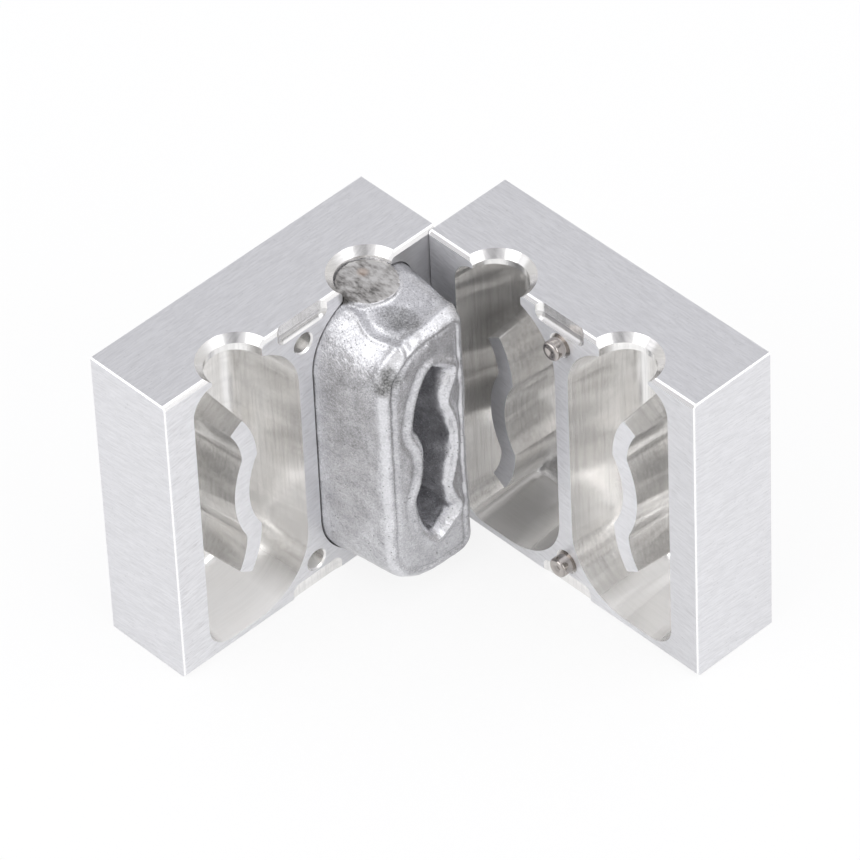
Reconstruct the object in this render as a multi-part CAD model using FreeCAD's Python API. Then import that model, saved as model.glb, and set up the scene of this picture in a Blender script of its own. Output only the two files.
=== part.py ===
"""Two-part aluminium mould for casting slotted belt sinkers, with one casting left in it.

The two halves stand open at a right angle. The left half still holds a lead sinker in its
right-hand cavity, and the right half carries the two steel dowels that line the halves up.

All sizes are in millimetres. Z points up. The origin is the middle of the footprint, on
the surface that the halves stand on.
"""
import FreeCAD
import Part
import math
import os
from FreeCAD import Vector

# Aluminium halves
BLOCK_WIDTH = 100.0
BLOCK_HEIGHT = 100.8
BLOCK_THICKNESS = 29.2
EDGE_BREAK = 0.4
PARTING_EDGE_CHAMFER = 1.2

# How far the end of the right half laps over the left half's parting face
HALF_OVERLAP = 3.2

# Sinker cavity, measured on the parting face
OUTER_WALL = 9.9
CENTRE_RIB = 4.9
END_WALL = 3.1
OUTER_CORNER_RADIUS = 8.0
INNER_CORNER_RADIUS = 20.0
CAVITY_DEPTH = 24.8
CAVITY_DRAFT = 7.0
FLOOR_FILLET = 4.2

# Wavy core that leaves the belt slot: a waist arc between two leg arcs
CORE_THICKNESS = 5.3
CORE_FROM_WALL = 12.2
CORE_WAIST_RADIUS = 27.0
CORE_LEG_RADIUS = 26.0
CORE_LOBE_RISE = 13.5
CORE_TIP_RISE = 26.7
CORE_TIP_SHIFT = 4.1
CORE_DRAFT = 4.0
CORE_VALLEY_RADIUS = 4.0
CORE_CORNER_RADIUS = 0.6
CORE_FOOT_FILLET = 2.5

# Pouring gates, one into the top of each cavity
GATE_FROM_SIDE = 26.1
GATE_DIAMETER = 18.2
FUNNEL_LEG = 2.1
GATE_RUN_IN = 3.0

# Dowel pins, their tight seats in the right half and their open bores in the left half
DOWEL_DIAMETER = 6.0
DOWEL_LENGTH = 16.0
DOWEL_PROTRUSION = 4.0
DOWEL_TIP_ROUND = 0.9
DOWEL_TAIL_CHAMFER = 0.6
DOWEL_DISH_DIAMETER = 3.4
DOWEL_DISH_DEPTH = 0.5
DOWEL_FROM_END = 10.0
SEAT_CLEARANCE = 0.01
SEAT_COUNTERSINK = 0.85
BORE_CLEARANCE = 0.04
BORE_COUNTERSINK = 0.5
BORE_FLOOR_GAP = 4.0
DRILL_POINT_ANGLE = 118.0

# Pry slots, cut by a ball-nosed cutter that runs along the parting edge
PRY_CUTTER_RADIUS = 3.0
PRY_BITE = 1.35
PRY_BALL_DEPTH = 3.1
PRY_TRAVEL = 13.2

# Lead sinker
CAST_CLEARANCE = 0.3
GATE_STUB_HEIGHT = 0.3

HALF_WIDTH = BLOCK_WIDTH / 2.0
HALF_HEIGHT = BLOCK_HEIGHT / 2.0
RIGHT_HALF_PARTING = BLOCK_WIDTH - HALF_OVERLAP
FOOTPRINT_CENTRE = Vector(
    (BLOCK_WIDTH - BLOCK_THICKNESS) / 2.0,
    (RIGHT_HALF_PARTING + BLOCK_THICKNESS) / 2.0,
    0,
)
ORIGIN = Vector(0, 0, 0)
X_AXIS = Vector(1, 0, 0)
Y_AXIS = Vector(0, 1, 0)
Z_AXIS = Vector(0, 0, 1)


def lift(spot, x):
    """Put a (width, height) spot of the parting face at the level x."""
    return Vector(x, spot[0], spot[1])


def line(start, end, x):
    return Part.LineSegment(lift(start, x), lift(end, x)).toShape()


def arc(centre, start, end, x):
    """Arc of less than half a turn about the centre."""
    radius = math.dist(centre, start)
    lean = (start[0] + end[0] - 2 * centre[0], start[1] + end[1] - 2 * centre[1])
    scale = radius / math.hypot(*lean)
    middle = (centre[0] + scale * lean[0], centre[1] + scale * lean[1])
    return Part.Arc(lift(start, x), lift(middle, x), lift(end, x)).toShape()


def circle_crossing(first, first_radius, second, second_radius, side):
    """Where two circles cross, on the left (1) or right (-1) going from first to second."""
    span = math.dist(first, second)
    unit = ((second[0] - first[0]) / span, (second[1] - first[1]) / span)
    along = (span ** 2 + first_radius ** 2 - second_radius ** 2) / (2 * span)
    across = side * math.sqrt(first_radius ** 2 - along ** 2)
    return (
        first[0] + along * unit[0] - across * unit[1],
        first[1] + along * unit[1] + across * unit[0],
    )


def cavity_outline(inset, x):
    """Outline of one sinker: small corners outside, large ones next to the dowels."""
    left = OUTER_WALL + inset
    right = HALF_WIDTH - CENTRE_RIB / 2.0 - inset
    low = END_WALL + inset
    high = BLOCK_HEIGHT - END_WALL - inset
    small = OUTER_CORNER_RADIUS - inset
    large = INNER_CORNER_RADIUS - inset
    return Part.Wire([
        line((left + small, low), (right - large, low), x),
        arc((right - large, low + large), (right - large, low), (right, low + large), x),
        line((right, low + large), (right, high - large), x),
        arc((right - large, high - large), (right, high - large), (right - large, high), x),
        line((right - large, high), (left + small, high), x),
        arc((left + small, high - small), (left + small, high), (left, high - small), x),
        line((left, high - small), (left, low + small), x),
        arc((left + small, low + small), (left, low + small), (left + small, low), x),
    ])


def core_points(growth):
    """Arc centres and corners of the core's upper half, with heights from its waist.

    The waist bows towards the outer wall and the legs bow towards the centre rib, so each
    lobe between them has a corner on the rib side and a valley on the wall side.
    """
    half = CORE_THICKNESS / 2.0 + growth
    waist_line = OUTER_WALL + CORE_FROM_WALL + CORE_THICKNESS / 2.0
    waist = (waist_line + CORE_WAIST_RADIUS, 0.0)
    lobe_reach = math.sqrt(CORE_WAIST_RADIUS ** 2 - CORE_LOBE_RISE ** 2)
    lobe = (waist[0] - lobe_reach, CORE_LOBE_RISE)
    tip = (lobe[0] - CORE_TIP_SHIFT, CORE_TIP_RISE)
    leg = circle_crossing(lobe, CORE_LEG_RADIUS, tip, CORE_LEG_RADIUS, 1)
    angle = math.atan2(tip[1] - leg[1], tip[0] - leg[0]) + growth / CORE_LEG_RADIUS
    ray = (math.cos(angle), math.sin(angle))
    rib_side = CORE_LEG_RADIUS + half
    wall_side = CORE_LEG_RADIUS - half
    return {
        "waist": waist,
        "leg": leg,
        "corner": circle_crossing(waist, CORE_WAIST_RADIUS - half, leg, rib_side, -1),
        "valley": circle_crossing(waist, CORE_WAIST_RADIUS + half, leg, wall_side, -1),
        "rib_tip": (leg[0] + rib_side * ray[0], leg[1] + rib_side * ray[1]),
        "wall_tip": (leg[0] + wall_side * ray[0], leg[1] + wall_side * ray[1]),
    }


def core_points_above_and_below(growth):
    points = core_points(growth)
    above = {name: (spot[0], HALF_HEIGHT + spot[1]) for name, spot in points.items()}
    below = {name: (spot[0], HALF_HEIGHT - spot[1]) for name, spot in points.items()}
    return above, below


def core_outline(growth, x):
    """Outline of the wavy core, with the draft's growth all round it."""
    above, below = core_points_above_and_below(growth)
    return Part.Wire([
        arc(above["waist"], below["corner"], above["corner"], x),
        arc(above["leg"], above["corner"], above["rib_tip"], x),
        line(above["rib_tip"], above["wall_tip"], x),
        arc(above["leg"], above["wall_tip"], above["valley"], x),
        arc(above["waist"], above["valley"], below["valley"], x),
        arc(below["leg"], below["valley"], below["wall_tip"], x),
        line(below["wall_tip"], below["rib_tip"], x),
        arc(below["leg"], below["rib_tip"], below["corner"], x),
    ])


def drafted_prism(outline, start_offset, draft, depth):
    """Solid from the parting face to the given depth, its outline changed by the draft."""
    floor_offset = start_offset + depth * math.tan(math.radians(draft))
    return Part.makeLoft([outline(start_offset, 0.0), outline(floor_offset, -depth)], True, True)


def face_at(shape, x):
    """The flat face that lies across the depth direction at the level x."""
    for face in shape.Faces:
        box = face.BoundBox
        if abs(box.XMin - x) < 1e-4 and abs(box.XMax - x) < 1e-4:
            return face
    raise ValueError("no flat face at this level")


def edges_into_depth(shape, spots):
    """Edges that leave the parting face at the given spots and run into the depth."""
    starts = [lift(spot, 0.0) for spot in spots]
    found = []
    for edge in shape.Edges:
        ends = [vertex.Point for vertex in edge.Vertexes]
        levels = [point.x for point in ends]
        if max(levels) - min(levels) < 1e-4:
            continue
        if any(point.distanceToPoint(start) < 1e-4 for point in ends for start in starts):
            found.append(edge)
    return found


def wavy_core(growth, depth):
    """Island that leaves the belt slot, with its valleys and corners rounded."""
    core = drafted_prism(core_outline, growth, CORE_DRAFT, depth)
    above, below = core_points_above_and_below(growth)
    valleys = [above["valley"], below["valley"]]
    core = core.makeFillet(CORE_VALLEY_RADIUS, edges_into_depth(core, valleys))
    corners = [side[name] for side in (above, below) for name in ("corner", "rib_tip", "wall_tip")]
    return core.makeFillet(CORE_CORNER_RADIUS, edges_into_depth(core, corners))


def sinker_half(clearance):
    """Half a sinker behind the parting face: the drafted cavity less its core.

    With no clearance it is the space that is milled out of a mould half.
    """
    depth = CAVITY_DEPTH - clearance
    pocket = drafted_prism(cavity_outline, clearance, CAVITY_DRAFT, depth)
    pocket = pocket.makeFillet(FLOOR_FILLET, face_at(pocket, -depth).Edges)
    body = pocket.cut(wavy_core(clearance, depth))
    floor = face_at(body, -depth)
    foot = [wire for wire in floor.Wires if not wire.isSame(floor.OuterWire)]
    return body.makeFillet(CORE_FOOT_FILLET, foot[0].Edges)


def across_centre(shape):
    """The same shape on the other side of the block's centre rib."""
    return shape.mirror(Vector(0, HALF_WIDTH, 0), Y_AXIS)


def upside_down(shape):
    """The same shape mirrored about the block's mid-height."""
    return shape.mirror(Vector(0, 0, HALF_HEIGHT), Z_AXIS)


def prism(corners, direction):
    """Solid over a closed run of corners, drawn out along the direction."""
    return Part.Face(Part.makePolygon(corners + corners[:1])).extrude(direction)


def cut_corner_section(width, height, chamfers):
    """Corners of a rectangle from (0, 0) whose four corners are chamfered.

    The chamfers are given for the low start, low end, high end and high start corners.
    """
    low_start, low_end, high_end, high_start = chamfers
    return [
        (low_start, 0), (width - low_end, 0),
        (width, low_end), (width, height - high_end),
        (width - high_end, height), (high_start, height),
        (0, height - high_start), (0, low_start),
    ]


def bare_block():
    """Plain block behind the parting face, where the parting edges are chamfered more."""
    even = [EDGE_BREAK] * 4
    parted = [EDGE_BREAK, PARTING_EDGE_CHAMFER, PARTING_EDGE_CHAMFER, EDGE_BREAK]
    back = -BLOCK_THICKNESS
    side = cut_corner_section(BLOCK_THICKNESS, BLOCK_HEIGHT, parted)
    plan = cut_corner_section(BLOCK_THICKNESS, BLOCK_WIDTH, even)
    front = cut_corner_section(BLOCK_WIDTH, BLOCK_HEIGHT, even)
    side_prism = prism([Vector(back + a, 0, b) for a, b in side], Y_AXIS * BLOCK_WIDTH)
    plan_prism = prism([Vector(back + a, b, 0) for a, b in plan], Z_AXIS * BLOCK_HEIGHT)
    front_prism = prism([Vector(back, a, b) for a, b in front], X_AXIS * BLOCK_THICKNESS)
    return side_prism.common(plan_prism).common(front_prism)


def pouring_gate():
    """Round gate on the parting face: a 45 degree funnel over a short straight throat."""
    radius = GATE_DIAMETER / 2.0
    foot = BLOCK_HEIGHT - END_WALL - GATE_RUN_IN
    throat = Part.makeCylinder(radius, BLOCK_HEIGHT - foot, Vector(0, GATE_FROM_SIDE, foot))
    funnel_foot = Vector(0, GATE_FROM_SIDE, BLOCK_HEIGHT - FUNNEL_LEG)
    funnel = Part.makeCone(radius, radius + FUNNEL_LEG, FUNNEL_LEG, funnel_foot)
    return throat.fuse(funnel)


def pry_slot():
    """Path of the ball-nosed cutter that leaves room for a screwdriver at the top edge."""
    radius = PRY_CUTTER_RADIUS
    axis = radius - PRY_BITE
    start = HALF_WIDTH - PRY_TRAVEL / 2.0
    ball = BLOCK_HEIGHT - PRY_BALL_DEPTH
    rise = PRY_BALL_DEPTH + radius
    path = Part.makeBox(2 * radius, PRY_TRAVEL, rise, Vector(axis - radius, start, ball))
    path = path.fuse(Part.makeCylinder(radius, PRY_TRAVEL, Vector(axis, start, ball), Y_AXIS))
    for end in (start, start + PRY_TRAVEL):
        path = path.fuse(Part.makeCylinder(radius, rise, Vector(axis, end, ball)))
        path = path.fuse(Part.makeSphere(radius, Vector(axis, end, ball)))
    return path


def drilled_hole(radius, depth, countersink, height):
    """Blind hole from the parting face, with a drill point and a countersunk mouth."""
    mouth = Vector(0, HALF_WIDTH, height)
    point_length = radius / math.tan(math.radians(DRILL_POINT_ANGLE / 2.0))
    hole = Part.makeCylinder(radius, depth, mouth, -X_AXIS)
    point = Part.makeCone(radius, 0, point_length, mouth - X_AXIS * depth, -X_AXIS)
    flare = Part.makeCone(radius + countersink, radius, countersink, mouth, -X_AXIS)
    return hole.fuse(point).fuse(flare)


def dowel_heights():
    return (BLOCK_HEIGHT - DOWEL_FROM_END, DOWEL_FROM_END)


def mould_half(hole_clearance, hole_depth, hole_countersink):
    """One milled half behind the parting face x = 0, standing on its end."""
    half = bare_block()
    cavity = sinker_half(0.0)
    gate = pouring_gate()
    slot = pry_slot()
    cuts = [cavity, across_centre(cavity), gate, across_centre(gate), slot, upside_down(slot)]
    hole_radius = DOWEL_DIAMETER / 2.0 + hole_clearance
    for height in dowel_heights():
        cuts.append(drilled_hole(hole_radius, hole_depth, hole_countersink, height))
    for cut in cuts:
        half = half.cut(cut)
    return half


def left_mould_half():
    """The half with open dowel bores, which holds the casting."""
    return mould_half(BORE_CLEARANCE, DOWEL_PROTRUSION + BORE_FLOOR_GAP, BORE_COUNTERSINK)


def to_right_half(shape):
    """Turn what belongs to the right half to its place against the left half."""
    turned = shape.copy()
    turned.rotate(ORIGIN, Z_AXIS, -90)
    turned.translate(Vector(0, RIGHT_HALF_PARTING, 0))
    return turned


def right_mould_half():
    """The half whose dowel holes hold the pins."""
    seat_depth = DOWEL_LENGTH - DOWEL_PROTRUSION
    return to_right_half(mould_half(SEAT_CLEARANCE, seat_depth, SEAT_COUNTERSINK))


def dowel_pin(height):
    """Turned dowel, from its chamfered tail in the seat to its rounded, dished tip."""
    radius = DOWEL_DIAMETER / 2.0
    tail = DOWEL_PROTRUSION - DOWEL_LENGTH
    shoulder = radius - DOWEL_TIP_ROUND
    round_start = DOWEL_PROTRUSION - DOWEL_TIP_ROUND
    bulge = DOWEL_TIP_ROUND * math.sqrt(0.5)
    corners = [
        Vector(tail, 0, 0),
        Vector(tail, radius - DOWEL_TAIL_CHAMFER, 0),
        Vector(tail + DOWEL_TAIL_CHAMFER, radius, 0),
        Vector(round_start, radius, 0),
        Vector(DOWEL_PROTRUSION, shoulder, 0),
        Vector(DOWEL_PROTRUSION, DOWEL_DISH_DIAMETER / 2.0, 0),
        Vector(DOWEL_PROTRUSION - DOWEL_DISH_DEPTH, 0, 0),
    ]
    tip_middle = Vector(round_start + bulge, shoulder + bulge, 0)
    edges = [Part.LineSegment(a, b).toShape() for a, b in zip(corners[:3], corners[1:4])]
    edges.append(Part.Arc(corners[3], tip_middle, corners[4]).toShape())
    edges += [Part.LineSegment(a, b).toShape() for a, b in zip(corners[4:6], corners[5:])]
    edges.append(Part.LineSegment(corners[-1], corners[0]).toShape())
    pin = Part.Face(Part.Wire(edges)).revolve(ORIGIN, X_AXIS, 360)
    pin.translate(Vector(0, HALF_WIDTH, height))
    return to_right_half(pin)


def cast_sinker():
    """Belt sinker in the left half's right-hand cavity, with the stub of its sheared gate."""
    back = sinker_half(CAST_CLEARANCE)
    radius = GATE_DIAMETER / 2.0 - CAST_CLEARANCE
    foot = BLOCK_HEIGHT - END_WALL - GATE_RUN_IN
    height = GATE_RUN_IN + GATE_STUB_HEIGHT
    stub = Part.makeCylinder(radius, height, Vector(0, GATE_FROM_SIDE, foot))
    sinker = back.fuse(back.mirror(ORIGIN, X_AXIS)).fuse(stub).removeSplitter()
    return across_centre(sinker)


def main():
    upper, lower = dowel_heights()
    pieces = {
        "left_mould_half": left_mould_half(),
        "right_mould_half": right_mould_half(),
        "upper_dowel_pin": dowel_pin(upper),
        "lower_dowel_pin": dowel_pin(lower),
        "cast_sinker": cast_sinker(),
    }
    os.makedirs("parts", exist_ok=True)
    for name, shape in pieces.items():
        shape.translate(-FOOTPRINT_CENTRE)
        shape.exportStep("parts/" + name + ".step")


main()
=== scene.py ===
"""Finishes, light and camera for a fishing sinker mould that stands open with a fresh casting in one half."""

import math
from collections import namedtuple

import bmesh
import bpy
import numpy as np
from bpy.props import FloatProperty, FloatVectorProperty, PointerProperty
from mathutils import Matrix, Vector, kdtree, noise


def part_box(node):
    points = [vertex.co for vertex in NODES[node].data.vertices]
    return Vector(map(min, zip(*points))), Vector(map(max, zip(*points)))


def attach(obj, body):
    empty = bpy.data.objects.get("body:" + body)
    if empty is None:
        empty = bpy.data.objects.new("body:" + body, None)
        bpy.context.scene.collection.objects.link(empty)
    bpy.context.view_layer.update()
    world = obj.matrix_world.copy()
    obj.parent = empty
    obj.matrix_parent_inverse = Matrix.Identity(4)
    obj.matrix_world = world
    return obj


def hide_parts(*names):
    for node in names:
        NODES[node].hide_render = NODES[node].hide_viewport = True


bl_info = {
    "name": "Sinker Mould Finishes",
    "version": (1, 0, 0),
    "blender": (4, 5, 0),
    "location": "3D View > Sidebar > Sinker Mould",
    "description": "Gives a milled aluminium sinker mould its metals, rough casting, pale floor and camera",
    "category": "Object",
}

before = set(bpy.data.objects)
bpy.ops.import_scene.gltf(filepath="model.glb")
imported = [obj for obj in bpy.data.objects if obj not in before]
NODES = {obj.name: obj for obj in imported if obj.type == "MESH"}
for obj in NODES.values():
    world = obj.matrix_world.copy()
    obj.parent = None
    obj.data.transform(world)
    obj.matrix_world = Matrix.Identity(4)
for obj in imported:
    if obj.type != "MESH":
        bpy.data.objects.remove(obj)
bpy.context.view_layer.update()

# One millimetre in metres, and one metre in millimetres along each axis
MILLIMETRE = 0.001
METRE = (1000.0, 1000.0, 1000.0)

# Where the two blocks stand and how large they are, in millimetres
LEFT_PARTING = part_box("left_mould_half")[1].x / MILLIMETRE
LEFT_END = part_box("left_mould_half")[0].y / MILLIMETRE
RIGHT_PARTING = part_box("right_mould_half")[0].y / MILLIMETRE
RIGHT_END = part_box("right_mould_half")[0].x / MILLIMETRE
BLOCK_WIDTH = 100.0
BLOCK_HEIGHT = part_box("left_mould_half")[1].z / MILLIMETRE
BLOCK_MIDDLE = BLOCK_HEIGHT / 2.0

# Depth behind the parting face that still counts as that face, that its chamfers reach, behind which the
# broken edges begin, and at which the outer back begins, in millimetres
PARTING_DEPTH = 0.3
CHAMFER_DEPTH = 1.6
EDGE_DEPTH = 1.25
BACK_DEPTH = 28.0
# Margins of the outer faces, of the chamfers and funnels and of the broken edges, in millimetres
FACE_MARGIN = 1.0
RIM_MARGIN = 2.2
EDGE_MARGIN = 0.42
END_EDGE_MARGIN = 0.45
# How far below the top face the pry slots reach, and the height that the cavities' lowest walls lie under,
# in millimetres
PRY_SLOT_REACH = 6.0
BED_HEIGHT = 30.0

# Rise of the face mill's scratches per millimetre along each half's parting face
SCRATCH_SLOPE = {"left": -0.10, "right": 0.16}
# How much painted shade darkens each half's narrow ends
END_PAINTED_SHADE = {"left": 0.18, "right": 0.02}
# How much painted shade darkens the last strip of the parting face: by the corner on the left half, by
# the outer wall on the right half
FAR_WALL_PAINTED_SHADE = {"left": 0.6, "right": 0.27}
# How strong the painted reflection stripes are on each half's cavity walls
REFLECTION_BAND_STRENGTH = {"left": 0.75, "right": 0.5}
# How much painted shade darkens the chamfers and pry slots along the parting face
CHAMFER_PAINTED_SHADE = {"left": 0.06, "right": 0.42}
# How much less metallic, and so whiter and less mirror-like, the lowest wall of each half's cavities is; its
# base colour carries painted light
BED_WHITENESS = {"left": 0.74, "right": 0.12}

# Slices of the noise, so that the layers of the brushed finish differ
FINE_SLICE = 5.0
BROAD_SLICE = 3.0
DASH_SLICE = 11.0
SPECK_SLICE = 17.0
# How closely the dowels' grinding marks lie along each axis: as rings, because the pins lie along y
RING_SPACING = (30.0, 4000.0, 30.0)

SCRATCH_GREY = (0.50, 0.49, 0.49)
# Grey of the dull specks on the brushed faces, and of the painted shade on their level faces, ends and last
# strip
SPECK_AND_SHADE_GREY = (0.35, 0.35, 0.36)
# Grey of the painted shade on the funnels, chamfers and pry slots
RIM_SHADE_GREY = (0.32, 0.32, 0.33)
# White of the painted light on the cavities' lowest walls
BED_PAINTED_WHITE = (1.0, 1.0, 0.995)
# White of the floor's glow and of the room seen from the camera, and of the painted highlights on the broken
# edges
WHITE = (1.0, 1.0, 1.0)

# Height and middle of the casting's stub, and places and radii of the casting's faults, in millimetres
STUB_LEVEL = 97.6
STUB_MIDDLE = 8.3
RUST_SPOT = (-38.6, 12.4, 98.0)
RUST_RADIUS = 2.4
TORN_TAB = (-34.4, 1.8, 97.2)
TAB_RADIUS = 3.4
SHRINK_HOLLOW = Vector((-19.5, 8.1, 95.4))
CORNER_HOLLOW = Vector((-12.2, -4.7, 85.1))
# Centre, radius and strength of each dull spot on the casting: dull grainy skin and painted shade in its
# hollow
DULL_AND_SHADED_SPOTS = ((SHRINK_HOLLOW, 7.5, 0.8), (CORNER_HOLLOW, 6.4, 1.0))

# Near black of the painted shade in the casting's pits and pinholes
PIT_SHADE_GREY = (0.16, 0.16, 0.165)
# Grey of the painted shade on the casting's flat front face
FRONT_SHADE_GREY = (0.38, 0.38, 0.40)
RUST_BROWN = (0.45, 0.29, 0.19)
TAB_BLACK = (0.10, 0.095, 0.09)

# Half width and half height of what counts as the slot's lip and as its walls, in millimetres, and of
# the part that is softened, in metres
SLOT_LIP = (10.5, 33.0)
SLOT_WALL = (9.0, 28.0)
SOFT_SLOT = (0.0115, 0.034)
SOFT_ROUNDS = 16
# How deep the torn top of the stub is chipped, in millimetres
CHIP_DEPTH = 0.34
# How far behind its foremost point the casting's flat front and its rounded edge reach, in millimetres
FLAT_FRONT = 0.25
ROUND_FRONT = 1.2
# Height, distance from the edge or the slot and width of the rings on the front face, in millimetres
CREASE = (-0.80, 1.2, 0.7)
SLOT_RIDGE = (0.75, 0.8, 1.1)
SLOT_GROOVE = (-0.3, 3.2, 0.8)
# How deep the front face lies inside its crease, in millimetres
FRONT_HOLLOW = 0.25

# The floor's half width and how far it lies under the object, in metres
FLOOR_REACH = 6.0
FLOOR_DROP = 0.0002
# Place of the two lamps and the point that they are turned to, in metres
KEY_PLACE = (-0.2, -1.3, 1.0)
FILL_PLACE = (1.4, 0.1, 0.9)
LAMP_TARGET = (0.0, 0.0, 0.05)
LAMP_WIDTH = 0.9
SENSOR_WIDTH = 36.0
FARTHEST_VIEW = 20.0

# Height and colour of the room's walls, from the horizon up
ROOM_WALLS = (
    (0.0, (1.0, 0.985, 0.96)),
    (0.3, (0.92, 0.91, 0.90)),
    (0.62, (0.70, 0.70, 0.73)),
    (1.0, (0.80, 0.80, 0.83)),
)
# Direction, inner and outer radius in degrees and colour of each bright or dark patch of the room
ROOM_PATCHES = (
    ((0.0, -1.0, 0.55), 14.0, 30.0, (1.35, 1.35, 1.38)),
    ((1.0, 0.15, 0.55), 14.0, 30.0, (1.3, 1.3, 1.33)),
    ((0.1, 0.1, 1.0), 10.0, 24.0, (1.2, 1.2, 1.25)),
    ((-0.54, -0.80, 0.27), 9.0, 17.0, (1.9, 1.9, 1.94)),
    ((0.45, 0.49, 0.75), 12.0, 24.0, (1.6, 1.6, 1.62)),
    ((-0.54, -0.49, 0.69), 10.0, 22.0, (1.35, 1.35, 1.38)),
    ((0.2, -0.3, 0.93), 8.0, 18.0, (1.4, 1.4, 1.42)),
    ((0.57, -0.52, 0.66), 3.0, 11.0, (0.22, 0.22, 0.23)),
    ((0.68, 0.49, 0.22), 6.0, 14.0, (0.15, 0.15, 0.16)),
)

HalfPlace = namedtuple("HalfPlace", "depth along height face_depth face_along face_up")
HalfFaces = namedtuple("HalfFaces", "end level upright outer lying rims chamfers edges bed")


class MillingSettings(bpy.types.PropertyGroup):
    """Colours and gloss of the two milled aluminium halves."""

    outer_colour: FloatVectorProperty(
        name="Outer colour",
        description="Colour of the sawn and brushed outer faces",
        subtype="COLOR",
        default=(0.83, 0.83, 0.85),
    )
    cavity_colour: FloatVectorProperty(
        name="Cavity colour",
        description="Colour of the bright finish milled cavities",
        subtype="COLOR",
        default=(0.985, 0.983, 0.978),
    )
    cavity_tint: FloatVectorProperty(
        name="Cavity tint",
        description="Colour of the clouds of duller metal in the cavities",
        subtype="COLOR",
        default=(0.975, 0.94, 0.895),
    )
    outer_roughness: FloatProperty(
        name="Outer roughness",
        description="How dull the brushed outer faces are",
        subtype="FACTOR",
        min=0.0,
        max=1.0,
        default=0.38,
    )
    cavity_roughness: FloatProperty(
        name="Cavity roughness",
        description="How dull the cavity walls are",
        subtype="FACTOR",
        min=0.0,
        max=1.0,
        default=0.175,
    )


class CastingSettings(bpy.types.PropertyGroup):
    """Size of the casting's surface faults and its colours."""

    grain_size: FloatProperty(
        name="Grain size",
        description="Size of the facets that the casting's surface is rebuilt from",
        subtype="DISTANCE",
        unit="LENGTH",
        default=0.00055,
    )
    wobble: FloatProperty(
        name="Wobble",
        description="How far the casting's skin wanders from the cavity's form",
        subtype="DISTANCE",
        unit="LENGTH",
        default=0.00025,
    )
    light_colour: FloatVectorProperty(
        name="Light colour",
        description="Colour of the bright skin",
        subtype="COLOR",
        default=(0.76, 0.76, 0.785),
    )
    dark_colour: FloatVectorProperty(
        name="Dark colour",
        description="Colour of the dull patches",
        subtype="COLOR",
        default=(0.30, 0.30, 0.31),
    )


class DowelSettings(bpy.types.PropertyGroup):
    """Colour and gloss of the two dowel pins."""

    colour: FloatVectorProperty(
        name="Colour",
        description="Colour of the ground steel",
        subtype="COLOR",
        default=(0.45, 0.42, 0.40),
    )
    roughness: FloatProperty(
        name="Roughness",
        description="How dull the ground steel is",
        subtype="FACTOR",
        min=0.0,
        max=1.0,
        default=0.06,
    )


class StageSettings(bpy.types.PropertyGroup):
    """Camera place, floor and light."""

    aim: FloatVectorProperty(
        name="Aim",
        description="The point at the middle of the picture",
        subtype="XYZ",
        unit="LENGTH",
        default=(-0.028909, 0.02525, 0.036986),
    )
    azimuth: FloatProperty(
        name="Azimuth",
        description="Turn of the camera about the upright axis",
        subtype="ANGLE",
        unit="ROTATION",
        default=math.radians(47.611),
    )
    elevation: FloatProperty(
        name="Elevation",
        description="Height angle of the camera over the floor",
        subtype="ANGLE",
        unit="ROTATION",
        default=math.radians(43.4687),
    )
    roll: FloatProperty(
        name="Roll",
        description="Turn of the picture about the line of sight",
        subtype="ANGLE",
        unit="ROTATION",
        default=math.radians(-2.685),
    )
    distance: FloatProperty(
        name="Distance",
        description="How far the camera stands from its aim",
        subtype="DISTANCE",
        unit="LENGTH",
        default=2.137645,
    )
    lens: FloatProperty(
        name="Lens",
        description="Focal length on a 36 mm wide sensor, in millimetres",
        default=327.14,
    )
    key_power: FloatProperty(
        name="Key power",
        description="Power of the large soft lamp on the left",
        default=4.0,
    )
    fill_power: FloatProperty(
        name="Fill power",
        description="Power of the large soft lamp on the right",
        default=3.6,
    )
    sky_level: FloatProperty(
        name="Sky level",
        description="Brightness of the studio around the object",
        min=0.0,
        default=0.95,
    )


def fill(tree, node, inputs):
    """Set a node's inputs to values, or join them to other nodes."""
    for key, value in dict(inputs).items():
        if isinstance(value, bpy.types.NodeSocket):
            tree.links.new(value, node.inputs[key])
        else:
            node.inputs[key].default_value = value


def add(tree, kind, inputs=(), **settings):
    """One shader node with its settings and its inputs."""
    made = tree.nodes.new(kind)
    for name, value in settings.items():
        setattr(made, name, value)
    fill(tree, made, inputs)
    return made


def calc(tree, operation, first, *others):
    """The result of a chain of Math nodes of one kind."""
    for other in others:
        first = add(tree, "ShaderNodeMath", {0: first, 1: other}, operation=operation).outputs[0]
    return first


def plus(tree, *values):
    """The sum of all values."""
    return calc(tree, "ADD", *values)


def minus(tree, first, second):
    """The first value less the second."""
    return calc(tree, "SUBTRACT", first, second)


def times(tree, *values):
    """The product of all values."""
    return calc(tree, "MULTIPLY", *values)


def larger(tree, *values):
    """The largest of all values, which joins masks."""
    return calc(tree, "MAXIMUM", *values)


def above(tree, value, limit):
    """1 where the value is over the limit, and 0 elsewhere."""
    return calc(tree, "GREATER_THAN", value, limit)


def below(tree, value, limit):
    """1 where the value is under the limit, and 0 elsewhere."""
    return calc(tree, "LESS_THAN", value, limit)


def rest_of(tree, mask):
    """The opposite of a mask."""
    return minus(tree, 1.0, mask)


def outside(tree, value, low, high):
    """1 where the value lies outside its two limits."""
    return larger(tree, above(tree, value, high), below(tree, value, low))


def square_on(tree, part, limit):
    """1 where this part of the normal is longer than the limit, to either side."""
    size = add(tree, "ShaderNodeMath", {0: part}, operation="ABSOLUTE").outputs[0]
    return above(tree, size, limit)


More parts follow.
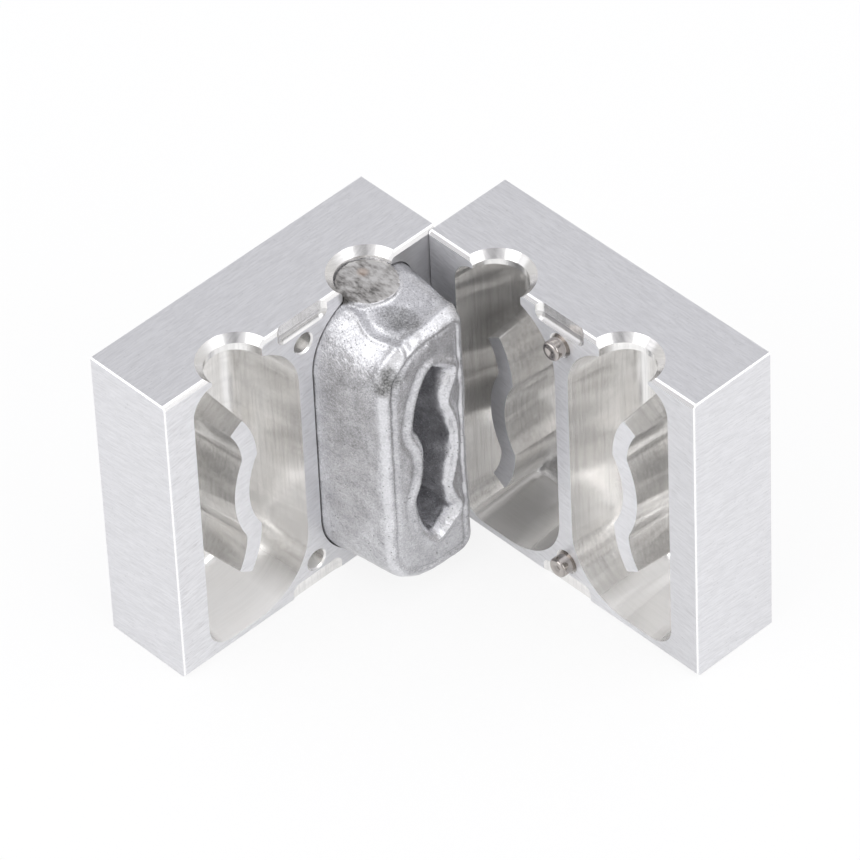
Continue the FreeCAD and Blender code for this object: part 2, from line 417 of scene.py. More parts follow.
def ramp(tree, factor, stops):
    """A colour ramp with (position, value or colour) stops, and its colour output."""
    made = add(tree, "ShaderNodeValToRGB", {0: factor})
    elements = made.color_ramp.elements
    while len(elements) < len(stops):
        elements.new(0.5)
    for element, (position, value) in zip(elements, stops):
        element.position = position
        colour = tuple(value) if hasattr(value, "__len__") else (value, value, value)
        element.color = (*colour, 1.0)
    return made.outputs[0]


def noise_at(tree, place, scale, detail=2.0, roughness=0.5):
    """Cloudy noise between 0 and 1."""
    inputs = {"Vector": place, "Scale": scale, "Detail": detail, "Roughness": roughness}
    return add(tree, "ShaderNodeTexNoise", inputs).outputs["Fac"]


def joined(tree, x, y, z):
    """Three numbers as one vector."""
    return add(tree, "ShaderNodeCombineXYZ", {0: x, 1: y, 2: z}).outputs[0]


def parts_of(tree, vector):
    """The three numbers of a vector."""
    return tuple(add(tree, "ShaderNodeSeparateXYZ", {0: vector}).outputs)


def vector_calc(tree, operation, *vectors):
    """The result of one Vector Math node."""
    return add(tree, "ShaderNodeVectorMath", dict(enumerate(vectors)), operation=operation).outputs[0]


def blended(tree, factor, first, second):
    """Two colours mixed by a factor."""
    colours = [c if isinstance(c, bpy.types.NodeSocket) else (*c, 1.0) for c in (first, second)]
    inputs = {0: factor, 6: colours[0], 7: colours[1]}
    made = add(tree, "ShaderNodeMix", data_type="RGBA")
    fill(tree, made, inputs)
    return made.outputs[2]


def chosen(tree, mask, first, second):
    """The first number where the mask is 0 and the second where it is 1."""
    made = add(tree, "ShaderNodeMix", data_type="FLOAT")
    fill(tree, made, {0: mask, 2: first, 3: second})
    return made.outputs[0]


def shades(colour, *factors):
    """A colour made darker or lighter by each factor."""
    return [tuple(min(1.0, factor * part) for part in colour) for factor in factors]


def bumped(tree, height, strength, distance):
    """Small relief on the surface, as a normal."""
    inputs = {"Strength": strength, "Distance": distance, "Height": height}
    return add(tree, "ShaderNodeBump", inputs).outputs[0]


def spot(tree, place, centre, radius):
    """A round soft spot, 1 at its centre and 0 beyond its radius."""
    reach = add(tree, "ShaderNodeVectorMath", {0: place, 1: centre}, operation="DISTANCE").outputs["Value"]
    limits = {0: reach, 1: radius, 2: 0.25 * radius}
    return add(tree, "ShaderNodeMapRange", limits, interpolation_type="SMOOTHSTEP").outputs[0]


def new_metal(name):
    """A material with one metal shader, its node tree and that shader."""
    material = bpy.data.materials.new(name)
    material.use_nodes = True
    tree = material.node_tree
    shader = tree.nodes["Principled BSDF"]
    shader.inputs["Metallic"].default_value = 1.0
    return material, tree, shader


def dress(node, material):
    """One CAD node takes one material."""
    mesh = NODES[node].data
    mesh.materials.clear()
    mesh.materials.append(material)


def half_place(tree, side):
    """Millimetres behind the parting face, along the block and up, and the same parts of the normal."""
    source = add(tree, "ShaderNodeTexCoord")
    x, y, z = parts_of(tree, vector_calc(tree, "MULTIPLY", source.outputs["Object"], METRE))
    face_x, face_y, face_z = parts_of(tree, source.outputs["Normal"])
    if side == "left":
        depth = minus(tree, LEFT_PARTING, x)
        along = minus(tree, y, LEFT_END)
        return HalfPlace(depth, along, z, face_x, face_y, face_z)
    depth = minus(tree, y, RIGHT_PARTING)
    along = minus(tree, x, RIGHT_END)
    return HalfPlace(depth, along, z, face_y, face_x, face_z)


def half_faces(tree, at):
    """Masks that tell a half's outer faces, rims, broken edges and cavity beds from its cavity walls."""
    # A part of the normal over 0.9 means a flat outer face, and from 0.6 to 0.8 a chamfer or funnel
    near_ends = outside(tree, at.along, FACE_MARGIN, BLOCK_WIDTH - FACE_MARGIN)
    end = times(tree, square_on(tree, at.face_along, 0.9), near_ends)
    top_or_foot = outside(tree, at.height, FACE_MARGIN, BLOCK_HEIGHT - FACE_MARGIN)
    level = times(tree, square_on(tree, at.face_up, 0.95), top_or_foot)
    front_or_back = outside(tree, at.depth, PARTING_DEPTH, BACK_DEPTH)
    upright = times(tree, square_on(tree, at.face_depth, 0.97), front_or_back)
    outer = larger(tree, end, level, upright)

    lying = square_on(tree, at.face_up, 0.6)
    slanted = times(tree, lying, rest_of(tree, square_on(tree, at.face_up, 0.8)))
    rims = times(tree, slanted, outside(tree, at.height, RIM_MARGIN, BLOCK_HEIGHT - RIM_MARGIN))
    upward = times(tree, above(tree, at.face_up, 0.1), below(tree, at.face_up, 0.95))
    pry_slots = times(tree, upward, above(tree, at.height, BLOCK_HEIGHT - PRY_SLOT_REACH))
    rims = larger(tree, rims, pry_slots)
    level_run = rest_of(tree, square_on(tree, at.face_along, 0.3))
    chamfers = times(tree, rims, times(tree, below(tree, at.depth, CHAMFER_DEPTH), level_run))

    long_edges = outside(tree, at.height, EDGE_MARGIN, BLOCK_HEIGHT - EDGE_MARGIN)
    long_edges = times(tree, long_edges, outside(tree, at.depth, EDGE_DEPTH, BACK_DEPTH))
    long_edges = times(tree, long_edges, square_on(tree, at.face_depth, 0.6))
    end_edges = outside(tree, at.along, END_EDGE_MARGIN, BLOCK_WIDTH - END_EDGE_MARGIN)
    edges = larger(tree, end_edges, long_edges)
    bed = times(tree, ramp(tree, at.face_up, [(0.60, 0.0), (0.92, 1.0)]), below(tree, at.height, BED_HEIGHT))
    return HalfFaces(end, level, upright, outer, lying, rims, chamfers, edges, bed)


def brushed_finish(tree, side, at, faces, settings):
    """Colour of the brushed outer faces, with painted shade on the level faces, ends and last strip, and the
    fine scratches that their gloss and relief follow.
    """
    end_depth = times(tree, faces.end, at.depth)
    slope = times(tree, faces.upright, SCRATCH_SLOPE[side])
    across = plus(tree, at.height, times(tree, at.along, slope), at.depth)
    across = minus(tree, across, times(tree, end_depth, 0.9))
    run = plus(tree, at.along, end_depth)
    stretched = times(tree, run, 0.11)
    fine = noise_at(tree, joined(tree, stretched, across, FINE_SLICE), 2.1, 3.0, 0.7)
    broad = noise_at(tree, joined(tree, times(tree, run, 0.10), across, BROAD_SLICE), 0.35, 3.0, 0.6)
    dashes = noise_at(tree, joined(tree, stretched, across, DASH_SLICE), 2.1, 1.5, 0.6)
    dashes = ramp(tree, dashes, [(0.56, 0.0), (0.70, 1.0)])
    dash_depth = plus(tree, 0.10, times(tree, faces.upright, 0.22))
    specks = noise_at(tree, joined(tree, run, across, SPECK_SLICE), 1.3, 0.0)
    specks = ramp(tree, specks, [(0.74, 0.0), (0.80, 1.0)])

    low, middle, high = shades(settings.outer_colour, 0.90, 0.95, 1.08)
    colour = ramp(tree, fine, [(0.34, low), (0.66, high)])
    colour = blended(tree, times(tree, broad, 0.2), colour, middle)
    colour = blended(tree, times(tree, dashes, dash_depth), colour, SCRATCH_GREY)
    colour = blended(tree, times(tree, specks, 0.2), colour, SPECK_AND_SHADE_GREY)

    # Painted shade: the level faces, the narrow ends and the last strip of the parting face are darkened
    # towards grey
    parting = times(tree, faces.upright, below(tree, at.depth, 1.0))
    last_strip = ramp(tree, times(tree, at.along, 1.0 / BLOCK_WIDTH), [(0.70, 0.0), (0.88, 1.0)])
    far = times(tree, parting, last_strip)
    duller = plus(tree, times(tree, faces.level, 0.20), times(tree, faces.end, END_PAINTED_SHADE[side]))
    duller = plus(tree, duller, times(tree, far, FAR_WALL_PAINTED_SHADE[side]))
    return blended(tree, duller, colour, SPECK_AND_SHADE_GREY), fine


def milled_finish(tree, side, at, faces, settings):
    """Colour, gloss and furrows of the bright milled cavities, rims and broken edges, with painted
    reflections, shade, light and edge highlights.
    """
    stroke = times(tree, at.along, rest_of(tree, times(tree, faces.lying, 0.95)))
    feed = noise_at(tree, joined(tree, stroke, at.depth, times(tree, at.height, 0.035)), 1.3, 4.0, 0.7)
    wide_feed = noise_at(tree, joined(tree, stroke, at.depth, times(tree, at.height, 0.03)), 0.7, 2.0)
    cloud = noise_at(tree, joined(tree, at.along, at.depth, at.height), 0.07, 2.0)
    # Painted reflection: level stripes of darker colour across the cavity walls stand in for the reflected
    # stripes of the room
    level_run = times(tree, stroke, 0.012)
    stacked = joined(tree, level_run, times(tree, at.depth, 0.02), times(tree, at.height, 0.1))
    reflection_bands = noise_at(tree, stacked, 1.0, 2.0, 0.55)
    reflection_bands = ramp(tree, reflection_bands, [(0.40, 0.0), (0.47, 0.55), (0.50, 0.1), (0.60, 1.0)])
    reflection_bands = times(tree, reflection_bands, rest_of(tree, faces.lying))

    reflection_band_grey, low, high = shades(settings.cavity_colour, 0.72, 0.84, 1.015)
    colour = ramp(tree, feed, [(0.38, low), (0.55, high)])
    colour = blended(tree, times(tree, wide_feed, 0.2), colour, low)
    colour = blended(tree, times(tree, reflection_bands, REFLECTION_BAND_STRENGTH[side]), colour, reflection_band_grey)
    # Painted light: the lowest upward faces of the cavities are whitened
    colour = blended(tree, times(tree, faces.bed, 0.72), colour, BED_PAINTED_WHITE)
    # Painted shade darkens the funnels, chamfers and pry slots towards grey
    shadow = plus(tree, times(tree, faces.rims, 0.5), times(tree, faces.chamfers, CHAMFER_PAINTED_SHADE[side]))
    colour = blended(tree, shadow, colour, RIM_SHADE_GREY)
    colour = blended(tree, times(tree, cloud, 0.45), colour, settings.cavity_tint)
    # Painted highlight: the broken edges are painted pure white
    colour = blended(tree, faces.edges, colour, WHITE)

    gloss = plus(tree, settings.cavity_roughness - 0.08, times(tree, feed, 0.16))
    bed_gloss = plus(tree, settings.cavity_roughness + 0.04, times(tree, wide_feed, 0.06))
    gloss = chosen(tree, faces.bed, gloss, bed_gloss)
    furrows = times(tree, feed, minus(tree, 0.55, times(tree, faces.bed, 0.48)))
    return colour, gloss, furrows


def milled_aluminium(side, settings):
    """Brushed outer faces and bright milled cavities in one material."""
    material, tree, shader = new_metal(f"milled_aluminium_{side}")
    at = half_place(tree, side)
    faces = half_faces(tree, at)
    brushed, fine = brushed_finish(tree, side, at, faces, settings)
    milled, gloss, furrows = milled_finish(tree, side, at, faces, settings)
    dull = plus(tree, settings.outer_roughness - 0.12, times(tree, fine, 0.24))
    relief = chosen(tree, faces.outer, furrows, times(tree, fine, 0.45))
    flat = larger(tree, faces.outer, faces.lying)
    fill(tree, shader, {
        "Base Color": blended(tree, faces.outer, milled, brushed),
        "Roughness": chosen(tree, faces.outer, gloss, dull),
        "Metallic": minus(tree, 0.84, times(tree, faces.bed, BED_WHITENESS[side])),
        "Normal": bumped(tree, relief, 0.16, 0.0001),
        "Anisotropic": 0.88,
        "Anisotropic Rotation": 0.25,
        "Tangent": joined(tree, flat, faces.outer, rest_of(tree, flat)),
    })
    return material


def dowel_steel(settings):
    """Ground steel with fine rings round the pin."""
    material, tree, shader = new_metal("dowel_steel")
    place = parts_of(tree, add(tree, "ShaderNodeTexCoord").outputs["Object"])
    rings = joined(tree, *(times(tree, part, spacing) for part, spacing in zip(place, RING_SPACING)))
    ground = noise_at(tree, rings, 1.0, 2.0)
    low, high = shades(settings.colour, 0.8, 1.15)
    fill(tree, shader, {
        "Base Color": ramp(tree, ground, [(0.3, low), (0.7, high)]),
        "Roughness": plus(tree, settings.roughness, times(tree, minus(tree, ground, 0.5), 0.12)),
        "Normal": bumped(tree, ground, 0.08, 0.00005),
    })
    return material


def slanting_scratches(tree, x, y, z):
    """Short scratches that slant down across the casting."""
    level = plus(tree, x, y)
    fall = plus(tree, z, times(tree, level, 0.55))
    slanted = joined(tree, times(tree, minus(tree, level, z), 0.16), fall, times(tree, y, 0.3))
    return ramp(tree, noise_at(tree, slanted, 1.9, 2.0, 0.6), [(0.56, 0.0), (0.68, 1.0)])


def pits_and_pinholes(tree, place):
    """Round pits that come in groups, and pinholes all over."""
    cells = add(tree, "ShaderNodeTexVoronoi", {"Vector": place, "Scale": 0.55, "Randomness": 1.0})
    pits = ramp(tree, cells.outputs["Distance"], [(0.08, 1.0), (0.16, 0.0)])
    pits = times(tree, pits, ramp(tree, noise_at(tree, place, 0.11, 1.0), [(0.48, 0.0), (0.56, 1.0)]))
    pinholes = ramp(tree, noise_at(tree, place, 1.3, 1.0), [(0.25, 1.0), (0.30, 0.0)])
    return larger(tree, pits, pinholes)


def ragged(tree, place):
    """The same place shifted by up to 4.5 mm, which gives round spots a ragged outline."""
    shift = add(tree, "ShaderNodeTexNoise", {"Vector": place, "Scale": 0.32, "Detail": 3.0}).outputs["Color"]
    shifted = vector_calc(tree, "MULTIPLY_ADD", shift, (9.0, 9.0, 9.0), place)
    return vector_calc(tree, "SUBTRACT", shifted, (4.5, 4.5, 4.5))


def lead_skin(tree, mottle, grain, scratches, toward, settings):
    """Mottled grey with painted shade on the front face and a painted highlight on its rounded edge."""
    dark, light = settings.dark_colour, settings.light_colour
    deep, middling = shades(dark, 0.8, 1.4)
    scratched, edge_highlight_colour = shades(light, 1.15, 1.2)
    skin = ramp(tree, mottle, [(0.34, middling), (0.60, light)])
    skin = blended(tree, 0.5, skin, ramp(tree, grain, [(0.34, deep), (0.60, light)]))
    skin = blended(tree, times(tree, scratches, 0.45), skin, scratched)
    # Painted shade: the flat front face is darkened towards grey
    front = ramp(tree, toward, [(0.86, 0.0), (0.97, 1.0)])
    skin = blended(tree, times(tree, front, 0.30), skin, FRONT_SHADE_GREY)
    # Painted highlight: the rounded edge of the front face is lightened
    painted_edge_highlight = ramp(tree, toward, [(0.30, 0.0), (0.50, 1.0), (0.78, 1.0), (0.90, 0.0)])
    return blended(tree, times(tree, painted_edge_highlight, 0.38), skin, edge_highlight_colour)


def torn_lead(tree, place, drag, y):
    """The sheared stub's torn grain, which is paler towards the corner, with one rusty spot."""
    fade = times(tree, minus(tree, y, STUB_MIDDLE), 0.008)
    patches = times(tree, minus(tree, noise_at(tree, place, 0.22, 2.0), 0.5), 0.35)
    chips = plus(tree, noise_at(tree, drag, 0.8, 5.0, 0.66), fade, patches)
    stops = [(0.34, (0.16, 0.156, 0.15)), (0.44, (0.36, 0.347, 0.336)), (0.62, (0.61, 0.60, 0.59))]
    rust = times(tree, spot(tree, place, RUST_SPOT, RUST_RADIUS), 0.4)
    return blended(tree, rust, ramp(tree, chips, stops), RUST_BROWN)


def cast_lead(settings):
    """Mottled, pitted and scratched skin, and a sheared stub whose top is torn."""
    material, tree, shader = new_metal("cast_lead")
    source = add(tree, "ShaderNodeTexCoord")
    place = vector_calc(tree, "MULTIPLY", source.outputs["Object"], METRE)
    x, y, z = parts_of(tree, place)
    toward, _, up = parts_of(tree, source.outputs["Normal"])
    mottle = noise_at(tree, place, 0.16, 5.0, 0.65)
    grain = noise_at(tree, place, 1.9, 4.0, 0.7)
    scratches = slanting_scratches(tree, x, y, z)
    faults = pits_and_pinholes(tree, place)
    uneven = ragged(tree, place)

    skin = lead_skin(tree, mottle, grain, scratches, toward, settings)
    # Painted shade in the pits and pinholes, which have only bump relief
    skin = blended(tree, times(tree, faults, 0.6), skin, PIT_SHADE_GREY)
    # The two spots are dark grainy skin and painted shade in the hollows
    dull_and_shaded_skin = ramp(tree, grain, [(0.40, 0.10), (0.64, 0.38)])
    for centre, radius, strength in DULL_AND_SHADED_SPOTS:
        skin = blended(tree, times(tree, spot(tree, uneven, centre, radius), strength), skin, dull_and_shaded_skin)
    stub = times(tree, above(tree, z, STUB_LEVEL), above(tree, up, 0.4))
    drag = joined(tree, times(tree, x, 0.42), y, 0.0)
    colour = blended(tree, stub, skin, torn_lead(tree, place, drag, y))
    colour = blended(tree, spot(tree, uneven, TORN_TAB, TAB_RADIUS), colour, TAB_BLACK)

    skin_gloss = plus(tree, 0.10, plus(tree, times(tree, grain, 0.18), times(tree, mottle, 0.10)))
    sparkle = noise_at(tree, place, 4.5, 2.0, 0.6)
    lumps = plus(tree, grain, times(tree, sparkle, 0.2), times(tree, scratches, 0.35))
    lumps = minus(tree, lumps, times(tree, faults, 0.9))
    torn_lumps = times(tree, noise_at(tree, drag, 1.1, 5.0, 0.75), 3.0)
    fill(tree, shader, {
        "Base Color": colour,
        "Roughness": plus(tree, skin_gloss, times(tree, larger(tree, stub, faults), 0.18)),
        "Metallic": 0.76,
        "Normal": bumped(tree, chosen(tree, stub, lumps, torn_lumps), 0.26, 0.0004),
    })
    return material


def rebuilt(source, name, grain_size):
    """A closed copy of a CAD node's mesh, rebuilt from even facets."""
    piece = bpy.data.objects.new(name, source.data.copy())
    bpy.context.scene.collection.objects.link(piece)
    remesh = piece.modifiers.new("even_facets", "REMESH")
    remesh.mode = "VOXEL"
    remesh.voxel_size = grain_size
    smooth = piece.modifiers.new("soft_skin", "SMOOTH")
    smooth.factor = 0.5
    smooth.iterations = 4
    bpy.context.view_layer.update()
    evaluated = piece.evaluated_get(bpy.context.evaluated_depsgraph_get())
    mesh = bpy.data.meshes.new_from_object(evaluated)
    piece.modifiers.clear()
    piece.data = mesh
    return piece


def soften_slot(mesh, rounds):
    """Round off the slot's mouth and walls, where the lead drew back as it set."""
    shape = bmesh.new()
    shape.from_mesh(mesh)
    reach = max(vertex.co.y for vertex in shape.verts) - min(vertex.co.y for vertex in shape.verts)
    middle = min(vertex.co.y for vertex in shape.verts) + reach / 2.0
    level = BLOCK_MIDDLE * MILLIMETRE
    wide, tall = SOFT_SLOT
    inner = [v for v in shape.verts if abs(v.co.y - middle) < wide and abs(v.co.z - level) < tall]
    every_way = {"use_axis_x": True, "use_axis_y": True, "use_axis_z": True}
    for _ in range(rounds):
        bmesh.ops.smooth_vert(shape, verts=inner, factor=0.5, **every_way)
    shape.to_mesh(mesh)
    shape.free()


def skin_points(mesh):
    """Every point of a mesh in millimetres, and its normal."""
    places = np.zeros(len(mesh.vertices) * 3, np.float32)
    mesh.vertices.foreach_get("co", places)
    normals = np.zeros(len(mesh.vertices) * 3, np.float32)
    mesh.vertex_normals.foreach_get("vector", normals)
    return places.reshape(-1, 3).astype(float) / MILLIMETRE, normals.reshape(-1, 3).astype(float)


def bump_at(distance, centre, width):
    """A smooth hump of height 1 round a distance."""
    return np.exp(-(((distance - centre) / width) ** 2))


def ring(distance, height, centre, width):
    """A ridge or groove that follows an outline at a distance."""
    return height * bump_at(distance, centre, width)


def hollow_at(offsets, widths):
    """A smooth dent of depth 1 round a point, from the offsets and its width along each axis."""
    return np.exp(-sum((offset / width) ** 2 for offset, width in zip(offsets, widths)))


def nearest(points, others):
    """Distance in the plane from each point to the nearest of the others."""
    tree = kdtree.KDTree(len(others))
    for index, point in enumerate(others):
        tree.insert((point[0], point[1], 0.0), index)
    tree.balance()
    return np.array([tree.find((point[0], point[1], 0.0))[2] for point in points])


def near_slot(places, middle, reach):
    """Which points lie in a box round the slot of the given half width and half height."""
    wide, tall = reach
    return (np.abs(places[:, 1] - middle) < wide) & (np.abs(places[:, 2] - BLOCK_MIDDLE) < tall)


def shape_front(places, normals, middle):
    """Moves along x that give the front face its crease, its hollow band and the lip round the slot."""
    moves = np.zeros(len(places))
    front = places[:, 0].max()
    flat = (places[:, 0] > front - FLAT_FRONT) & (normals[:, 0] > 0.9)
    rounded = (places[:, 0] > front - ROUND_FRONT) & (normals[:, 0] > 0.45) & (normals[:, 0] < 0.93)
    by_slot = rounded & near_slot(places, middle, SLOT_LIP)
    by_edge = rounded & ~by_slot
    face = places[flat][:, 1:]
    from_edge = nearest(face, places[by_edge][:, 1:])
    from_slot = nearest(face, places[by_slot][:, 1:])
    crease = ring(from_edge, *CREASE)
    band = -FRONT_HOLLOW * np.clip((from_edge - 1.0) / 1.2, 0.0, 1.0)
    lip = ring(from_slot, *SLOT_RIDGE) + ring(from_slot, *SLOT_GROOVE)
    moves[flat] = crease + band + lip
    return moves


def hollows(places, normals):
    """Moves along the normal for shrink hollows, and for a ridge and a fold over the top."""
    x, y, z = places.T
    up = np.clip((normals[:, 2] - 0.3) / 0.4, 0.0, 1.0)
    proud = np.clip((x - LEFT_PARTING - 1.0) / 3.0, 0.0, 1.0)
    moves = -1.0 * up * hollow_at((x - SHRINK_HOLLOW.x, y - SHRINK_HOLLOW.y), (4.5, 4.5))
    corner = (x - CORNER_HOLLOW.x, y - CORNER_HOLLOW.y, z - CORNER_HOLLOW.z)
    moves -= 1.3 * hollow_at(corner, (2.4, 2.4, 3.6))
    moves += 0.6 * up * proud * bump_at(x, -14.2 - 0.006 * (y - 8.0) ** 2, 1.3)
    fold = 0.6 + 0.9 * np.sin(0.35 * x)
    moves += 0.65 * up * proud * bump_at(y, fold, 0.8)
    moves -= 0.45 * up * proud * bump_at(y, fold + 2.0, 0.9)
    return moves


def slot_lumps(places, normals, middle):
    """How far the slot's far wall swells towards the slot, in lumps."""
    x, _, z = places.T
    inside = near_slot(places, middle, SLOT_WALL) & (x > LEFT_PARTING + 6.0)
    facing = np.clip((-normals[:, 1] - 0.25) / 0.4, 0.0, 1.0)
    wave = np.sin(0.42 * z + 0.25 * x) * 0.6 + np.sin(0.9 * z - 0.5 * x + 1.0) * 0.35
    return np.where(inside, facing * (0.5 * wave + 0.2), 0.0)


def wander(place, freedom):
    """How far the skin strays at a point, the more the freer it set."""
    point = Vector(place)
    broad = noise.noise(point * 0.07) + noise.noise(point * 0.22 + Vector((9, 2, 5))) * 0.6
    return broad * (0.3 + 1.2 * freedom) + noise.noise(point * 0.7) * 0.35


def chipped(x, y):
    """How far the stub's top is torn away at a point, in millimetres."""
    chips = noise.noise(Vector((0.25 * (x + y), 0.9 * (x - y), 4.0)))
    chips += 0.5 * noise.noise(Vector((0.9 * x, 0.9 * y, 8.0)))
    return min(0.0, max(-CHIP_DEPTH, 0.35 * chips - CHIP_DEPTH / 2.0))


def roughen(mesh, wobble):
    """Let the skin wander, sink where the lead shrank and tear at the stub."""
    places, normals = skin_points(mesh)
    middle = 0.5 * (places[:, 1].min() + places[:, 1].max())
    freedom = np.clip((places[:, 0] - LEFT_PARTING) / 2.0, 0.0, 1.0)
    moves = np.array([wander(place, free) for place, free in zip(places, freedom)])
    moves = moves * wobble / MILLIMETRE + hollows(places, normals)
    for index in np.flatnonzero((places[:, 2] > STUB_LEVEL) & (normals[:, 2] > 0.5)):
        moves[index] = chipped(places[index][0], places[index][1])
    shifted = places + normals * moves[:, None]
    shifted[:, 0] += shape_front(places, normals, middle)
    shifted[:, 1] -= slot_lumps(places, normals, middle)
    mesh.vertices.foreach_set("co", (shifted * MILLIMETRE).astype(np.float32).ravel())
    mesh.update()


def lay_floor():
    """A wide white floor that shows as the white background and keeps the object's shadow."""
    mesh = bpy.data.meshes.new("studio_floor")
    shape = bmesh.new()
    bmesh.ops.create_grid(shape, x_segments=8, y_segments=8, size=FLOOR_REACH)
    shape.to_mesh(mesh)
    shape.free()
    floor = bpy.data.objects.new("studio_floor", mesh)
    floor.location.z = -FLOOR_DROP
    bpy.context.scene.collection.objects.link(floor)
    material = bpy.data.materials.new("white_sweep")
    material.use_nodes = True
    tree = material.node_tree
    tree.nodes.clear()
    paper = add(tree, "ShaderNodeBsdfDiffuse", {"Color": (0.9, 0.9, 0.9, 1.0)})
    glow = add(tree, "ShaderNodeEmission", {"Color": (*WHITE, 1.0), "Strength": 1.0})
    path = add(tree, "ShaderNodeLightPath").outputs
    seen = times(tree, path["Is Camera Ray"], 0.85)
    mirrored = times(tree, larger(tree, path["Is Glossy Ray"], path["Is Transmission Ray"]), 0.5)
    layers = {0: larger(tree, seen, mirrored), 1: paper.outputs[0], 2: glow.outputs[0]}
    surface = add(tree, "ShaderNodeMixShader", layers)
    add(tree, "ShaderNodeOutputMaterial", {"Surface": surface.outputs[0]})
    mesh.materials.append(material)


def soft_lamp(name, place, power):
    """One square soft box that points at the object."""
    lamp = bpy.data.lights.new(name, "AREA")
    lamp.shape = "RECTANGLE"
    lamp.size = LAMP_WIDTH
    lamp.size_y = LAMP_WIDTH
    lamp.energy = power
    holder = bpy.data.objects.new(name, lamp)
    holder.location = place
    holder.rotation_euler = (Vector(LAMP_TARGET) - Vector(place)).to_track_quat("-Z", "Y").to_euler()
    bpy.context.scene.collection.objects.link(holder)


def patch(tree, sight, direction, inner, outer):
    """How far a line of sight lies inside a round patch of the room, from 0 to 1."""
    middle = Vector(direction).normalized()
    aimed = add(tree, "ShaderNodeVectorMath", {0: sight, 1: middle}, operation="DOT_PRODUCT").outputs["Value"]
    limits = {0: aimed, 1: math.cos(math.radians(outer)), 2: math.cos(math.radians(inner))}
    return add(tree, "ShaderNodeMapRange", limits, interpolation_type="SMOOTHSTEP").outputs[0]


def light_studio(settings):
    """Two soft boxes in a pale room with bright patches and two dark gaps, which shows as plain white."""
    soft_lamp("key_softbox", KEY_PLACE, settings.key_power)
    soft_lamp("fill_softbox", FILL_PLACE, settings.fill_power)
    world = bpy.data.worlds.new("studio_room")
    world.use_nodes = True
    tree = world.node_tree
    tree.nodes.clear()
    sight = add(tree, "ShaderNodeTexCoord").outputs["Generated"]
    walls = ramp(tree, parts_of(tree, sight)[2], ROOM_WALLS)
    for direction, inner, outer, shade in ROOM_PATCHES:
        walls = blended(tree, patch(tree, sight, direction, inner, outer), walls, shade)
    room = add(tree, "ShaderNodeBackground", {"Color": walls, "Strength": settings.sky_level})
    white = add(tree, "ShaderNodeBackground", {"Color": (*WHITE, 1.0), "Strength": 1.0})
    path = add(tree, "ShaderNodeLightPath").outputs
    layers = {0: path["Is Camera Ray"], 1: room.outputs[0], 2: white.outputs[0]}
    mixed = add(tree, "ShaderNodeMixShader", layers)
    add(tree, "ShaderNodeOutputWorld", {"Surface": mixed.outputs[0]})
    bpy.context.scene.world = world


def set_camera(settings):
    """A long lens from the front right and above."""
    turn, rise = settings.azimuth, settings.elevation
    sight = Vector((-math.sin(turn) * math.cos(rise), math.cos(turn) * math.cos(rise), -math.sin(rise)))
    right = Vector((math.cos(turn), math.sin(turn), 0.0))
    up = right.cross(sight)
    axes = Matrix((right, up, -sight)).transposed().to_4x4()
    stand = Matrix.Translation(Vector(settings.aim) - sight * settings.distance)
    camera = bpy.data.objects.new("camera", bpy.data.cameras.new("camera"))
    camera.data.lens = settings.lens
    camera.data.sensor_width = SENSOR_WIDTH
    camera.data.clip_end = FARTHEST_VIEW
    camera.matrix_world = stand @ axes @ Matrix.Rotation(settings.roll, 4, "Z")
    bpy.context.scene.collection.objects.link(camera)
    bpy.context.scene.camera = camera


class MOULD_OT_halves(bpy.types.Operator):
    """Finish both mould halves in milled aluminium"""

    bl_idname = "mould.halves"
    bl_label = "Mould Halves"

    def execute(self, context):
        settings = context.scene.mould_milling
        for side in ("left", "right"):
            dress(f"{side}_mould_half", milled_aluminium(side, settings))
        return {"FINISHED"}


class MOULD_OT_dowels(bpy.types.Operator):
    """Finish both dowel pins in ground steel"""

    bl_idname = "mould.dowels"
    bl_label = "Dowel Pins"

    def execute(self, context):
        steel = dowel_steel(context.scene.mould_dowels)
        for node in ("upper_dowel_pin", "lower_dowel_pin"):
            dress(node, steel)
        return {"FINISHED"}


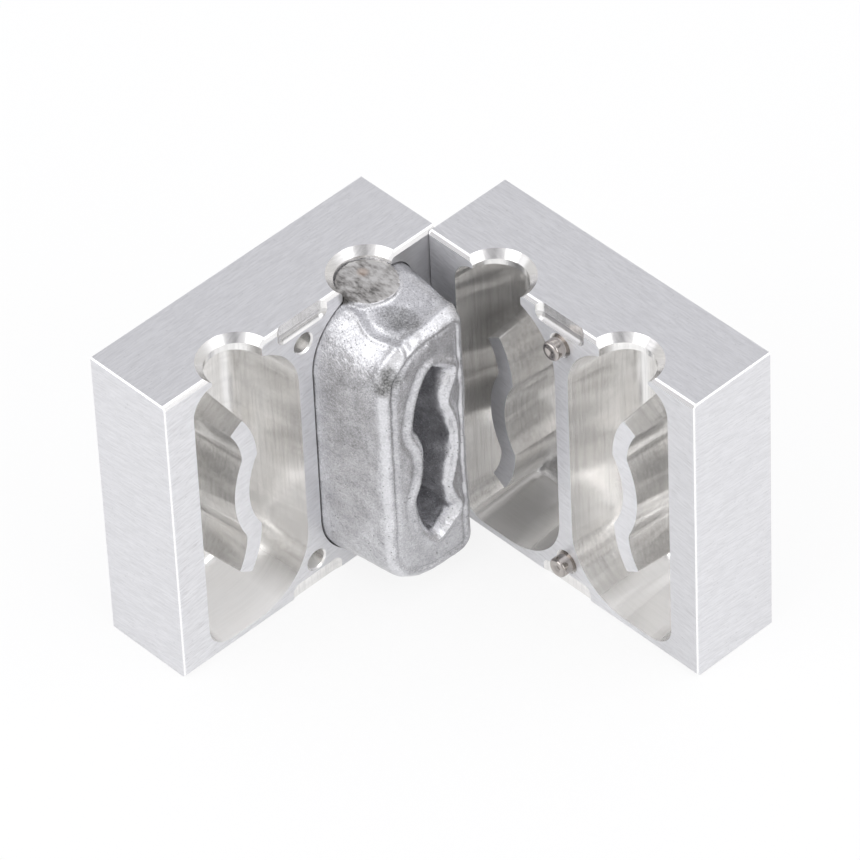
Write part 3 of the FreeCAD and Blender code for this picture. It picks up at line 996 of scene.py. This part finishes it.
class MOULD_OT_casting(bpy.types.Operator):
    """Build the rough skin of the cast sinker"""

    bl_idname = "mould.casting"
    bl_label = "Cast Sinker"

    def execute(self, context):
        settings = context.scene.mould_casting
        piece = rebuilt(NODES["cast_sinker"], "sinker_casting", settings.grain_size)
        soften_slot(piece.data, SOFT_ROUNDS)
        roughen(piece.data, settings.wobble)
        for polygon in piece.data.polygons:
            polygon.use_smooth = True
        piece.data.materials.clear()
        piece.data.materials.append(cast_lead(settings))
        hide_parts("cast_sinker")
        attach(piece, "root")
        return {"FINISHED"}


class MOULD_OT_stage(bpy.types.Operator):
    """Set up the floor, the light and the camera"""

    bl_idname = "mould.stage"
    bl_label = "Stage"

    def execute(self, context):
        settings = context.scene.mould_stage
        lay_floor()
        light_studio(settings)
        set_camera(settings)
        context.scene.view_settings.view_transform = "Standard"
        return {"FINISHED"}


class MOULD_PT_panel(bpy.types.Panel):
    """Sidebar panel of the sinker mould"""

    bl_label = "Sinker Mould"
    bl_idname = "MOULD_PT_panel"
    bl_space_type = "VIEW_3D"
    bl_region_type = "UI"
    bl_category = "Sinker Mould"

    def draw(self, context):
        for operator in OPERATORS:
            self.layout.operator(operator.bl_idname)


SETTINGS = {
    "mould_milling": MillingSettings,
    "mould_casting": CastingSettings,
    "mould_dowels": DowelSettings,
    "mould_stage": StageSettings,
}
OPERATORS = (MOULD_OT_halves, MOULD_OT_dowels, MOULD_OT_casting, MOULD_OT_stage)
CLASSES = (*SETTINGS.values(), *OPERATORS, MOULD_PT_panel)


def register():
    """Add the settings, the operators and the panel."""
    for kind in CLASSES:
        bpy.utils.register_class(kind)
    for name, group in SETTINGS.items():
        setattr(bpy.types.Scene, name, PointerProperty(type=group))


def unregister():
    """Take the settings, the operators and the panel away."""
    for name in SETTINGS:
        delattr(bpy.types.Scene, name)
    for kind in reversed(CLASSES):
        bpy.utils.unregister_class(kind)


def main():
    """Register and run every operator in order."""
    register()
    bpy.ops.mould.halves()
    bpy.ops.mould.dowels()
    bpy.ops.mould.casting()
    bpy.ops.mould.stage()
    bpy.context.view_layer.update()


if __name__ == "__main__":
    main()
